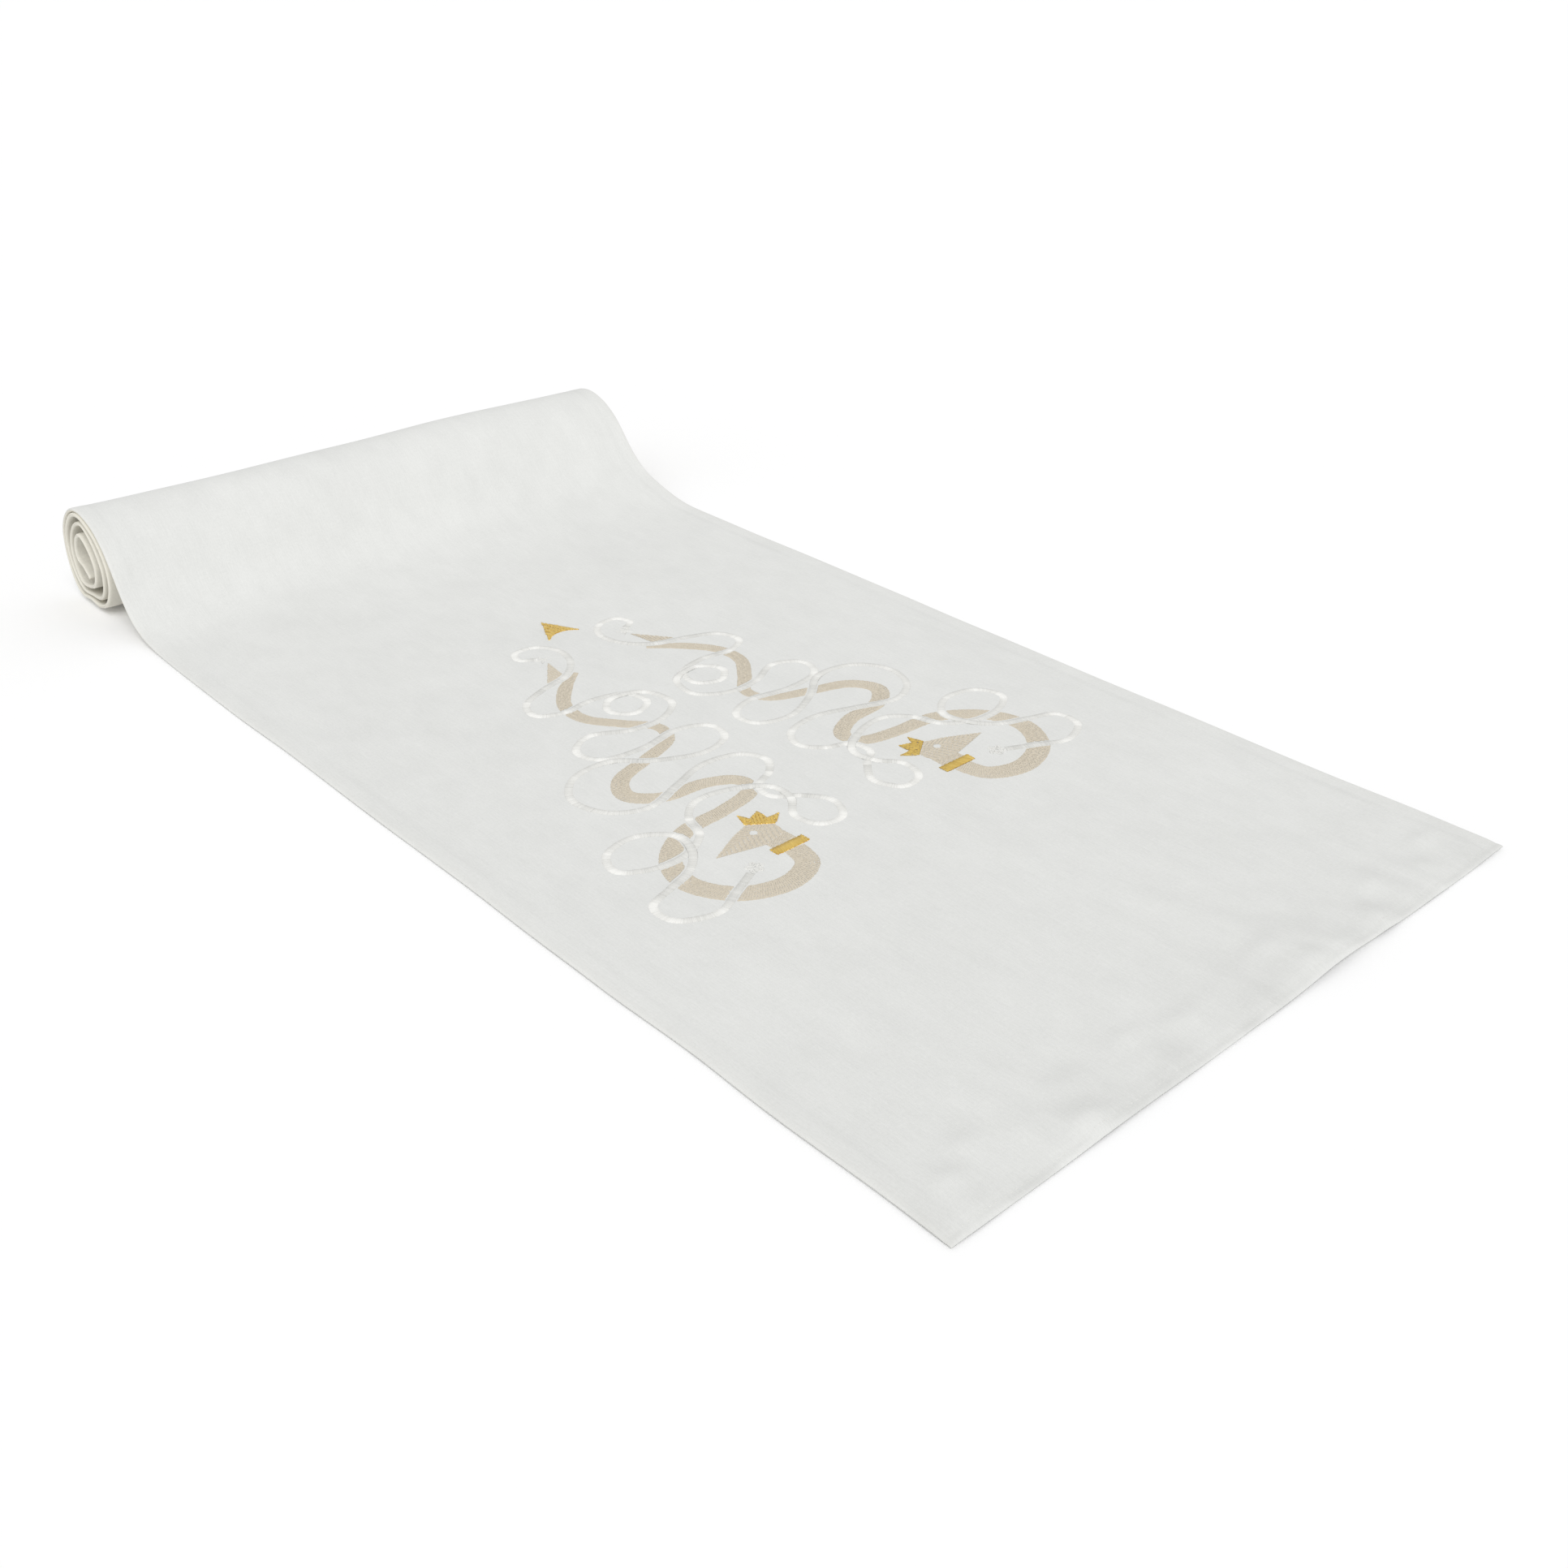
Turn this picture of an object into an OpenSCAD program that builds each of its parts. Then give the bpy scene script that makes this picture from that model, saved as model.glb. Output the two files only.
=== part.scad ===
// Embroidered table runner, laid out flat with its far end rolled up.
// A face panel and a back panel are seamed along both long edges and turned, so the cloth is double.
// X runs across the runner, Y from the flat end to the roll and Z is up.
// The origin is under the middle of the bounding box, on the table.

/* [Cloth] */
// Width of the runner across both seams
runner_w = 400; // [300:10:450]
// Thickness of one panel
panel_t = 1.2; // [0.8:0.1:1.5]
// Length of the flat end that holds the embroidery
laid_l = 560; // [550:5:600]
// Length of plain flat cloth between the embroidery and the roll
middle_l = 70; // [60:1:150]
// Width of the seam thread that shows at each long edge
seam_w = 0.6; // [0.4:0.1:1]

/* [Roll] */
// Height of the roll, as a share of 65 mm
roll_scale = 1; // [1:0.05:1.3]

/* [Stitching] */
// Distance of the end stitching from the edge
hem_inset = 4; // [3:0.5:10]
// Distance from one end stitch to the next
stitch_pitch = 3; // [2.5:0.5:5]
// Length of one end stitch
stitch_l = 2.2; // [1.5:0.1:2.4]
// Thickness of the sewing thread
thread_d = 0.5; // [0.3:0.1:0.6]

/* [Embroidery] */
// Height of the embroidery above the cloth
relief = 0.6; // [0.3:0.1:1]
// Width of the satin ribbon
ribbon_w = 5; // [4:0.5:6]
// Clearance between neighbouring threads
thread_gap = 0.15; // [0.1:0.05:0.3]
// Depth of the bobbin thread behind the face panel
bobbin_t = 0.3; // [0.2:0.1:0.5]

/* [Colours] */
// Cloth
cloth_colour = "#dcdddb";
// Fill of the birds
beige_colour = "#d0c7b9";
// Satin ribbon
ribbon_colour = "#f0f0ea";
// Metallic thread
gold_colour = "#cda03c";

/* [Hidden] */

cloth_t = 2 * panel_t;
panel_w = runner_w - 2 * seam_w;
flat_l = laid_l + middle_l;
eps = 0.02;
// Every embroidery outline grows by this, which joins the shapes it is drawn from into one loop
tidy = 0.05;

// Middle line of the double cloth, from where it leaves the table up the ramp, over the roll and inwards.
// Each point is [distance past the flat cloth, height above the flat cloth's own middle line].
RAMP = [[0, 0], [12, 0.6], [24, 2], [36, 4.6], [47, 8.4], [58, 14], [68, 21.5], [76, 30], [84, 40],
    [93, 50]];
TURN_1 = [[106, 58.8], [121, 62.8], [135, 60.2], [146, 52], [153, 41], [155, 29], [154, 16], [149, 5],
    [141, 0.2], [129, 1.5], [115, 0.8], [103, 5], [94, 15], [90, 27], [92, 39]];
TURN_2 = [[100, 50], [111, 57], [122, 59.8], [133, 57], [143, 48], [149, 37], [150, 26], [147, 14],
    [138, 5], [124, 5.4], [111, 7], [102, 15], [98, 28], [101, 39]];
TURN_3 = [[108, 48.5], [118, 54.5], [129, 52], [138, 44], [143.5, 33], [143, 21], [137, 11.5],
    [126, 11], [113, 16], [107, 28], [111, 39]];
INNER_END = [[121, 46.5], [130, 43], [135, 34], [134, 27], [127, 24], [120, 18]];
steps = 4;

function blend(a, b, c, d, t) = 0.5 * (2 * b + (c - a) * t
    + (2 * a - 5 * b + 4 * c - d) * t * t + (3 * b - a - 3 * c + d) * t * t * t);
function smooth(p, n) = [for (i = [0:len(p) - 2], k = [0:n - 1])
    blend(p[max(i - 1, 0)], p[i], p[i + 1], p[min(i + 2, len(p) - 1)], k / n), p[len(p) - 1]];
function lifted(p) = [for (q = p) [flat_l + q[0] * roll_scale, panel_t + q[1] * roll_scale]];

path = smooth(lifted(concat(RAMP, TURN_1, TURN_2, TURN_3, INNER_END)), steps);
path_end = len(path) - 1;
ramp_end = (len(RAMP) - 1) * steps;

function heading(p, i) = let (d = p[min(i + 1, len(p) - 1)] - p[max(i - 1, 0)]) d / norm([d[0], d[1]]);
function normal(p, i) = i == 0 ? [0, 1] : let (h = heading(p, i)) [-h[1], h[0]];
function off_path(i, d) = path[i] + d * normal(path, i);
// Outline of a layer of the cloth between two offsets from its middle line
function layer(low, high, first, last) = concat(
    [for (i = [first:last]) off_path(i, high)], [for (i = [last:-1:first]) off_path(i, low)]);

total_l = max([for (i = [0:path_end]) off_path(i, panel_t)[0]]);
face_z = cloth_t;

module from_end() {
    translate([0, -total_l / 2, 0]) children();
}

// Extrudes an outline drawn in Y and Z across the runner from x = low to x = high
module across(low, high) {
    from_end() translate([low, 0, 0]) rotate([90, 0, 90]) linear_extrude(high - low) children();
}

module face_panel_laid() {
    color(cloth_colour) difference() {
        across(-panel_w / 2, panel_w / 2) translate([0, panel_t]) square([laid_l, panel_t]);
        from_end() for (side = [-1, 1]) translate([0, 0, panel_t - eps])
            linear_extrude(bobbin_t + eps) bobbin_outline(side, thread_gap);
    }
}

module flat_panel(from, long, z) {
    color(cloth_colour) across(-panel_w / 2, panel_w / 2) translate([from, z]) square([long, panel_t]);
}

module back_panel_laid() { flat_panel(0, laid_l, 0); }
module face_panel_middle() { flat_panel(laid_l, middle_l, panel_t); }
module back_panel_middle() { flat_panel(laid_l, middle_l, 0); }

module path_panel(low, high, first, last) {
    color(cloth_colour) across(-panel_w / 2, panel_w / 2) polygon(layer(low, high, first, last));
}

module face_panel_ramp() { path_panel(0, panel_t, 0, ramp_end); }
module back_panel_ramp() { path_panel(-panel_t, 0, 0, ramp_end); }
module face_panel_roll() { path_panel(0, panel_t, ramp_end, path_end); }
module back_panel_roll() { path_panel(-panel_t, 0, ramp_end, path_end); }

// Seam thread in the crease where the two panels meet, at x < 0 for side = -1
module seam(side) {
    edge = side < 0 ? -runner_w / 2 : panel_w / 2;
    color(cloth_colour) across(edge, edge + seam_w) children();
}

module flat_seam(side, from, long) {
    seam(side) translate([from, panel_t - seam_w / 2]) square([long, seam_w]);
}

module rolled_seam(side) {
    seam(side) polygon(layer(-seam_w / 2, seam_w / 2, 0, path_end));
}

module left_seam_laid() { flat_seam(-1, 0, laid_l); }
module right_seam_laid() { flat_seam(1, 0, laid_l); }
module left_seam_middle() { flat_seam(-1, laid_l, middle_l); }
module right_seam_middle() { flat_seam(1, laid_l, middle_l); }
module left_seam_roll() { rolled_seam(-1); }
module right_seam_roll() { rolled_seam(1); }

// Row of stitches along X, each a half-round bar standing on Z = 0
module stitch_row() {
    count = floor((panel_w - stitch_pitch) / stitch_pitch);
    for (i = [0:count - 1])
        translate([(i - (count - 1) / 2) * stitch_pitch - stitch_l / 2, 0, 0])
            rotate([90, 0, 90]) linear_extrude(stitch_l)
                intersection() {
                    circle(d = thread_d, $fn = 16);
                    translate([-thread_d, 0]) square(2 * thread_d);
                }
}

module laid_end_stitches() {
    color(cloth_colour) from_end() translate([0, hem_inset, face_z]) stitch_row();
}

module rolled_end_stitches() {
    i = path_end - steps / 2;
    at = off_path(i, panel_t + eps);
    h = heading(path, i);
    slope = atan2(h[1], h[0]);
    color(cloth_colour) from_end() translate([0, at[0], at[1]]) rotate([slope, 0, 0]) stitch_row();
}

// Embroidery outlines, drawn for the left half in X and Y from the middle of the flat end.
// Points of the neck are [x, y, width], and those of the ribbon are [x, y].
NECK = [[-27, 466, 5], [-44, 452, 9], [-57, 434, 9], [-58, 414, 9], [-46, 396, 9], [-33, 380, 8],
    [-38, 364, 8], [-60, 355, 9], [-84, 346, 10], [-92, 330, 11], [-78, 317, 10], [-54, 314, 10],
    [-38, 304, 10], [-42, 291, 10], [-64, 286, 10], [-92, 283, 11], [-114, 267, 12], [-121, 244, 13],
    [-109, 222, 13], [-86, 213, 13], [-66, 220, 13], [-61, 236, 13]];
RIBBON = [[-33, 496], [-42, 502], [-38, 512], [-24, 511], [-16, 498], [-20, 480], [-34, 466],
    [-54, 460], [-72, 451], [-76, 436], [-62, 428], [-42, 430], [-22, 424], [-18, 408], [-32, 401],
    [-42, 412], [-32, 424], [-12, 418], [-8, 398], [-24, 386], [-46, 386], [-68, 396], [-84, 386],
    [-78, 370], [-54, 366], [-28, 370], [-10, 362], [-12, 346], [-32, 340], [-56, 350], [-78, 366],
    [-102, 364], [-116, 346], [-110, 324], [-90, 314], [-66, 322], [-42, 330], [-20, 326],
    [-12, 312], [-20, 300], [-34, 293], [-36, 280], [-24, 270], [-15, 256], [-22, 241], [-36, 243],
    [-40, 258], [-30, 272], [-30, 288], [-48, 300], [-68, 303], [-82, 292], [-88, 276], [-104, 266],
    [-124, 266], [-140, 276], [-134, 292], [-114, 296], [-98, 284], [-100, 268], [-112, 254],
    [-130, 247], [-146, 240], [-145, 224], [-126, 216], [-108, 224], [-92, 232]];
TAIL = [[-31, 488], [-49, 463], [-41, 460], [-34, 466]];
tail_round = 1;
// The head, beak and crown are drawn about the middle of the head
HEAD_AT = [-64, 256];
HEAD_R = 11;
EYE_AT = [-3, 3];
EYE_R = 2;
BEAK = [[-4, 10.2], [-13, 7], [-33, -3], [-14, -8], [-3, -10.5]];
CROWN = [[-8, 8.5], [-11, 19], [-4.5, 15], [0, 22], [4.5, 15], [11, 19], [8, 8.5]];
CROWN_TILT = -35;
// Lowest left corner and size of the collar
COLLAR_AT = [-72, 235];
COLLAR_SIZE = [22, 7];
THROAT = [[-70, 242], [-53, 242], [-54, 253], [-70, 253]];
TIP = [[-12, 514], [0, 539], [12, 514]];
TIP_ARC_AT = [0, 505];
TIP_ARC_R = 14;
ROSETTE_AT = [-88, 234];
ROSETTE_R = 3;
PETAL_R = 2.2;
TIE_AT = [-31, 493];
TIE_POINT = [[0, -2], [6, 0], [0, 2]];
// Steps from one point to the next, and the size of the discs that round a stroke's joints
fine = 4;
joint_share = 0.97;
// Width of the bobbin thread, as a share of the neck above it
bobbin_share = 0.8;

// A stroke along points [x, y, width], with its width multiplied by a share
module stroke(p, share) {
    q = smooth(p, fine);
    line = [for (r = q) [r[0], r[1]]];
    for (i = [0:len(q) - 1]) translate(line[i]) circle(d = joint_share * q[i][2] * share, $fn = 12);
    for (i = [0:len(q) - 2]) {
        a = ends(line, i, q[i][2] * share);
        b = ends(line, i + 1, q[i + 1][2] * share);
        polygon([a[0], b[0], b[1], a[1]]);
    }
}

// The two ends of a crosswise line of that width at point i of a line
function ends(p, i, width) = let (h = heading(p, i), half = width / 2 * [-h[1], h[0]])
    [p[i] + half, p[i] - half];

module ribbon_outline() { stroke([for (p = RIBBON) [p[0], p[1], ribbon_w]], 1); }

module head_outline() {
    translate(HEAD_AT) {
        circle(HEAD_R, $fn = 32);
        polygon(BEAK);
    }
    polygon(THROAT);
}

module collar_outline() { translate(COLLAR_AT) square(COLLAR_SIZE); }
module crown_outline() { translate(HEAD_AT) rotate(CROWN_TILT) polygon(CROWN); }

// Area that bobbin thread covers behind one bird, grown by a clearance
module bobbin_outline(side, grown) {
    mirror([side < 0 ? 0 : 1, 0]) offset(grown) stroke(NECK, bobbin_share);
}

module bobbin_thread(side) {
    color(cloth_colour) from_end() translate([0, 0, panel_t])
        linear_extrude(bobbin_t) bobbin_outline(side, 0);
}

module left_bobbin_thread() { bobbin_thread(-1); }
module right_bobbin_thread() { bobbin_thread(1); }

// Stands an outline up as thread on the face; side = 1 mirrors it to the right half
module embroidered(side, colour) {
    color(colour) from_end() translate([0, 0, face_z]) mirror([side < 0 ? 0 : 1, 0, 0])
        linear_extrude(relief) offset(delta = tidy) children();
}

// What is under the ribbon stops short of it
module under_ribbon() {
    difference() {
        children();
        offset(2 * thread_gap) ribbon_outline();
    }
}

module tail(side) {
    embroidered(side, beige_colour) under_ribbon() difference() {
        offset(tail_round) polygon(TAIL);
        offset(2 * thread_gap) tie_outline();
        offset(2 * thread_gap) stroke(NECK, 1);
    }
}
module left_tail() { tail(-1); }
module right_tail() { tail(1); }

module neck(side) {
    embroidered(side, beige_colour) under_ribbon() difference() {
        stroke(NECK, 1);
        offset(2 * thread_gap) collar_outline();
        translate(COLLAR_AT + [0, COLLAR_SIZE[1] / 2]) square(COLLAR_SIZE);
        offset(2 * thread_gap) rosette_outline();
    }
}
module left_neck() { neck(-1); }
module right_neck() { neck(1); }

module head(side) {
    embroidered(side, beige_colour) under_ribbon() difference() {
        head_outline();
        translate(HEAD_AT + EYE_AT) circle(EYE_R, $fn = 24);
        offset(2 * thread_gap) collar_outline();
        offset(2 * thread_gap) crown_outline();
    }
}
module left_head() { head(-1); }
module right_head() { head(1); }

module collar(side) { embroidered(side, gold_colour) collar_outline(); }
module left_collar() { collar(-1); }
module right_collar() { collar(1); }

module crown(side) { embroidered(side, gold_colour) under_ribbon() crown_outline(); }
module left_crown() { crown(-1); }
module right_crown() { crown(1); }

module ribbon(side) {
    embroidered(side, ribbon_colour) difference() {
        ribbon_outline();
        offset(2 * thread_gap) rosette_outline();
        offset(2 * thread_gap) tie_outline();
    }
}
module left_ribbon() { ribbon(-1); }
module right_ribbon() { ribbon(1); }

module rosette_outline() {
    translate(ROSETTE_AT) for (a = [0:72:288]) rotate(a) translate([ROSETTE_R, 0]) circle(PETAL_R, $fn = 16);
}
module rosette(side) { embroidered(side, ribbon_colour) rosette_outline(); }
module left_rosette() { rosette(-1); }
module right_rosette() { rosette(1); }

module tie_outline() {
    translate(TIE_AT) for (a = [18:72:306]) rotate(a) polygon(TIE_POINT);
}
module tie(side) { embroidered(side, ribbon_colour) tie_outline(); }
module left_tie() { tie(-1); }
module right_tie() { tie(1); }

module gold_tip() {
    embroidered(-1, gold_colour) difference() {
        polygon(TIP);
        translate(TIP_ARC_AT) circle(TIP_ARC_R, $fn = 48);
    }
}

face_panel_laid();
back_panel_laid();
face_panel_middle();
back_panel_middle();
face_panel_ramp();
back_panel_ramp();
face_panel_roll();
back_panel_roll();
left_seam_laid();
right_seam_laid();
left_seam_middle();
right_seam_middle();
left_seam_roll();
right_seam_roll();
laid_end_stitches();
rolled_end_stitches();
left_bobbin_thread();
right_bobbin_thread();
gold_tip();
left_tail();
right_tail();
left_neck();
right_neck();
left_head();
right_head();
left_collar();
right_collar();
left_crown();
right_crown();
left_ribbon();
right_ribbon();
left_rosette();
right_rosette();
left_tie();
right_tie();
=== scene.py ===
"""Looks for the embroidered table runner.

The runner is two panels of cloth, seamed along both long edges and turned. It lies flat at one end and is
rolled up at the other. Everything is worked out in flat cloth coordinates, x across the runner and s along
it from the flat end, in millimetres, and then laid along the runner's middle line in the frame's metres.
"""

import math

import bpy
import numpy as np
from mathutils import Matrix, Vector, noise


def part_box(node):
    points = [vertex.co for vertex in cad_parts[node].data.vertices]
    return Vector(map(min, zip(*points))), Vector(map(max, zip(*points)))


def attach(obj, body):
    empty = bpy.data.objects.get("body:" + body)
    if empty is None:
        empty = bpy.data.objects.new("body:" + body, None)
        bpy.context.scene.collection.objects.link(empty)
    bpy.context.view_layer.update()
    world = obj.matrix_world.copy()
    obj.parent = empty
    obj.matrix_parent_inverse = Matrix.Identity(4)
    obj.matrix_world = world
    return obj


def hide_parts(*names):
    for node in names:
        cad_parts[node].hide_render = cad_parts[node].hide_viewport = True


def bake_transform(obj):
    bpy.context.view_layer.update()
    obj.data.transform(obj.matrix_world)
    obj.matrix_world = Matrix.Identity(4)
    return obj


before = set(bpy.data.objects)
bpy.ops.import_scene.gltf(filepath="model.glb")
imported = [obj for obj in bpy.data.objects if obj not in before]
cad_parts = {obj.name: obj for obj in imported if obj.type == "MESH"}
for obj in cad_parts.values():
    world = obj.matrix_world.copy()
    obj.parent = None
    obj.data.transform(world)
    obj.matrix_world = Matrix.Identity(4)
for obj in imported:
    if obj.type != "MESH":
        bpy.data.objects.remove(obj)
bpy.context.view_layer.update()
rng = np.random.default_rng(7)

MM = 0.001

# ---------------------------------------------------------------- driving sizes, from the frame
laid_low, laid_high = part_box("face_panel_laid")
middle_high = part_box("face_panel_middle")[1]
WIDTH = (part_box("right_seam_laid")[1].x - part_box("left_seam_laid")[0].x) / MM
PANEL_T = (laid_high.z - laid_low.z) / MM
FRONT_Y = laid_low.y / MM  # where the flat end is in the frame
FLAT_L = (middle_high.y - laid_low.y) / MM
MIDDLE_Z = laid_low.z / MM  # height of the cloth's middle line where it lies flat
HALF_W = WIDTH / 2

# ---------------------------------------------------------------- the middle line of the cloth
# Distance past the flat cloth and height above its middle line, as in the part's own source
RAMP = [(0, 0), (12, 0.6), (24, 2), (36, 4.6), (47, 8.4), (58, 14), (68, 21.5), (76, 30), (84, 40),
        (93, 50)]
TURN_1 = [(106, 58.8), (121, 62.8), (135, 60.2), (146, 52), (153, 41), (155, 29), (154, 16), (149, 5),
          (141, 0.2), (129, 1.5), (115, 0.8), (103, 5), (94, 15), (90, 27), (92, 39)]
TURN_2 = [(100, 50), (111, 57), (122, 59.8), (133, 57), (143, 48), (149, 37), (150, 26), (147, 14),
          (138, 5), (124, 5.4), (111, 7), (102, 15), (98, 28), (101, 39)]
TURN_3 = [(108, 48.5), (118, 54.5), (129, 52), (138, 44), (143.5, 33), (143, 21), (137, 11.5), (126, 11),
          (113, 16), (107, 28), (111, 39)]
INNER_END = [(121, 46.5), (130, 43), (135, 34), (134, 27), (127, 24), (120, 18)]


def smooth(points, n):
    """A Catmull-Rom curve through the points, with n steps from each to the next."""
    p = np.array(points, float)
    p = np.vstack([p[:1], p, p[-1:]])
    t = (np.arange(n) / n)[:, None]
    spans = [
        0.5 * (2 * b + (c - a) * t + (2 * a - 5 * b + 4 * c - d) * t**2 + (3 * b - a - 3 * c + d) * t**3)
        for a, b, c, d in zip(p[:-3], p[1:-2], p[2:-1], p[3:])
    ]
    return np.vstack([*spans, p[-2:-1]])


def lengths(line):
    """How far along the line each of its points is."""
    return np.concatenate([[0], np.cumsum(np.linalg.norm(np.diff(line, axis=0), axis=1))])


def at_lengths(line, along, wanted):
    return np.stack([np.interp(wanted, along, line[:, k]) for k in range(line.shape[1])], -1)


def headings(line):
    d = np.gradient(line, axis=0)
    return d / np.linalg.norm(d, axis=1)[:, None]


roll_line = smooth(RAMP + TURN_1 + TURN_2 + TURN_3 + INNER_END, 16)
roll_along = lengths(roll_line)
roll_heading = headings(roll_line)
ROLL_L = roll_along[-1]
TOTAL_L = FLAT_L + ROLL_L
RAMP_L = lengths(smooth(RAMP, 16))[-1]
ONE_TURN = 190  # about one turn of the roll
COVER_L = 95  # cloth past the ramp that shows as the roll's outside


def on_middle_line(s):
    """Points (y, z) of the cloth's middle line, and its normals towards the face side, at lengths s."""
    past = s - FLAT_L
    flat = past <= 0
    at = at_lengths(roll_line, roll_along, np.clip(past, 0, ROLL_L))
    head = at_lengths(roll_heading, roll_along, np.clip(past, 0, ROLL_L))
    head = np.where(flat[..., None], [1.0, 0.0], head)
    head = head / np.linalg.norm(head, axis=-1, keepdims=True)
    at = np.where(flat[..., None], np.stack([past, 0 * past], -1), at)
    return at, np.stack([-head[..., 1], head[..., 0]], -1)


# ---------------------------------------------------------------- how the cloth lies
def soft_noise(x, y, seed):
    """Smooth noise from about -1 to 1 at the points (x, y)."""
    flat = zip(np.ravel(x), np.ravel(y))
    return np.array([noise.noise(Vector((a, b, seed))) for a, b in flat]).reshape(np.shape(x)) * 1.6


def bump(x, middle, wide):
    return np.exp(-(((x - middle) / wide) ** 2))


# Ripples that run in from the flat end: place along it, width, height, reach and sideways lean
PUCKERS = [(rng.uniform(-HALF_W + 8, HALF_W - 8), rng.uniform(5, 11), rng.uniform(0.7, 2.7),
            rng.uniform(14, 50), rng.uniform(-0.5, 0.5)) for _ in range(26)]
# Small pillows behind the end stitching: place along it, place back from it, width, length, height
PILLOWS = [(x + rng.uniform(-6, 6), rng.uniform(9, 34), rng.uniform(6, 12), rng.uniform(4.5, 8),
            rng.uniform(0.5, 1.8)) for x in np.arange(-180, 190, 21)]
# The foot of the ramp, as (past the flat cloth, reach, height): later at the left edge, sooner at the right
LEFT_FOOT = (58, 30, -4.6)
RIGHT_FOOT = (35, 25, 2.4)
# Low swells that the flat end keeps, as (place along it, width, height)
SWELLS = [(58, 30, 2.7), (-95, 26, 0.9), (HALF_W, 24, 1.1), (-HALF_W, 20, 0.5)]
SWELL_REACH = 55
LEFT_RISE = 2.2  # how far the roll's left end stands off the table
RIGHT_DROOP = 0.05  # how much lower the roll is at its right end, as a share of its height


def lift(x, s):
    """How far the cloth stands off its flat lie, in millimetres."""
    x, s = np.broadcast_arrays(np.asarray(x, float), np.asarray(s, float))
    up = 0.45 * (1 + soft_noise(x / 85, s / 110, 1.5)) + 0.16 * (1 + soft_noise(x / 30, s / 42, 4.5))
    up = up * (1 - 0.7 * np.exp(-(HALF_W - np.abs(x)) / 12))
    # The flat end waves a little, and both corners are just off the table
    up = up + np.exp(-s / SWELL_REACH) * sum(high * bump(x, middle, wide) for middle, wide, high in SWELLS)
    # The end stitching draws the cloth in, which leaves short ripples running away from it
    for middle, wide, high, reach, lean in PUCKERS:
        up = up + high * bump(x, middle + lean * s, wide) * np.exp(-s / reach) * (1 - np.exp(-s / 5))
    for middle, back, wide, long, high in PILLOWS:
        up = up + high * bump(x, middle, wide) * bump(s, back, long)
    # Long edges wander up and down a little on their own
    edge = np.exp(-(HALF_W - np.abs(x)) / 22)
    up = up + 0.14 * edge * (1 + soft_noise(np.sign(x) * 3, s / 75, 8.5))
    # The underside stays on the table where the panels thin out towards an edge
    settle = outer_height(x, s) - PANEL_T
    return (up + settle) * np.clip((FLAT_L + 30 - s) / 90, 0, 1)


def ripple(x, s):
    """Looseness of the cloth in the ramp and the roll, along its normal, in millimetres."""
    past = np.clip((s - FLAT_L) / 40, 0, 1)
    cover = np.clip(1 - (s - FLAT_L - RAMP_L - 60) / 60, 0, 1)
    broad = soft_noise(x / 75, s / 60, 12.5)
    rightward = 0.5 + 0.5 * np.sin(np.clip(x / HALF_W, -1, 1) * math.pi / 2)
    foot = 0
    for share, (middle, wide, high) in ((1 - rightward, LEFT_FOOT), (rightward, RIGHT_FOOT)):
        foot = foot + share * high * bump(s - FLAT_L, middle, wide)
    return past * (0.12 + 0.5 * cover) * broad + foot


def sideways(x, s):
    """How far the cloth is shifted along X: inner turns stand out at the left end, and edges wander."""
    inner = np.clip((s - FLAT_L - RAMP_L - 80) / (2.6 * ONE_TURN), 0, 1)
    wander = 0.7 * (np.abs(x) / HALF_W) ** 2 * soft_noise(np.sign(x) * 5, s / 70, 20.5)
    tucked = 1.4 * np.clip((s - FLAT_L - 60) / 60, 0, 1) * np.clip(-x / HALF_W, 0, 1)
    return tucked - 0.8 * inner + wander


def lay(x, s, off):
    """Points in the frame, in metres, for flat positions (x, s) that stand off from the middle line."""
    at, n = on_middle_line(s)
    off = off + lift(x, s) + ripple(x, s)
    y = FRONT_Y + FLAT_L + at[..., 0] + n[..., 0] * off
    droop = 1 - RIGHT_DROOP * np.clip((x / HALF_W - 0.3) / 0.7, 0, 1) ** 2
    rise = LEFT_RISE * np.clip((-x / HALF_W - 0.4) / 0.6, 0, 1) ** 2 * np.clip((s - FLAT_L - 60) / 60, 0, 1)
    z = MIDDLE_Z + at[..., 1] * droop + rise + n[..., 1] * off
    return np.stack([x + sideways(x, s), y, z], -1) * MM


# ---------------------------------------------------------------- thickness of a panel
CLOTH_T = 0.62  # one panel with its air, where it lies flat
ROLLED_T = 1.1  # one panel in the roll, where nothing presses it
ALLOWANCE = 10  # seam allowance turned in along the long edges
ALLOWANCE_T = 0.14  # how much the seam allowance adds to a panel
EDGE_ROUND = 1.5  # how far in from an edge the fold starts to round
EDGE_LEAST = 0.14  # share of the thickness that is left at the outline
HEM_PRESS = 0.35  # how much thinner the flat end is ironed
GROOVE = 0.16  # depth that the end stitching is drawn in
HEM_INSET = (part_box("laid_end_stitches")[0].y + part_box("laid_end_stitches")[1].y) / 2 / MM - FRONT_Y


def edge_share(x, s):
    """1 inside the cloth and 0 at its outline, with a quarter-round fold between."""
    qx = np.clip((HALF_W - np.abs(x)) / EDGE_ROUND, 0, 1)
    qs = np.clip(np.minimum(s, TOTAL_L - s) / EDGE_ROUND, 0, 1)
    return np.sqrt(np.clip(1 - (1 - qx) ** 2, 0, 1)) * np.sqrt(np.clip(1 - (1 - qs) ** 2, 0, 1))


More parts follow.
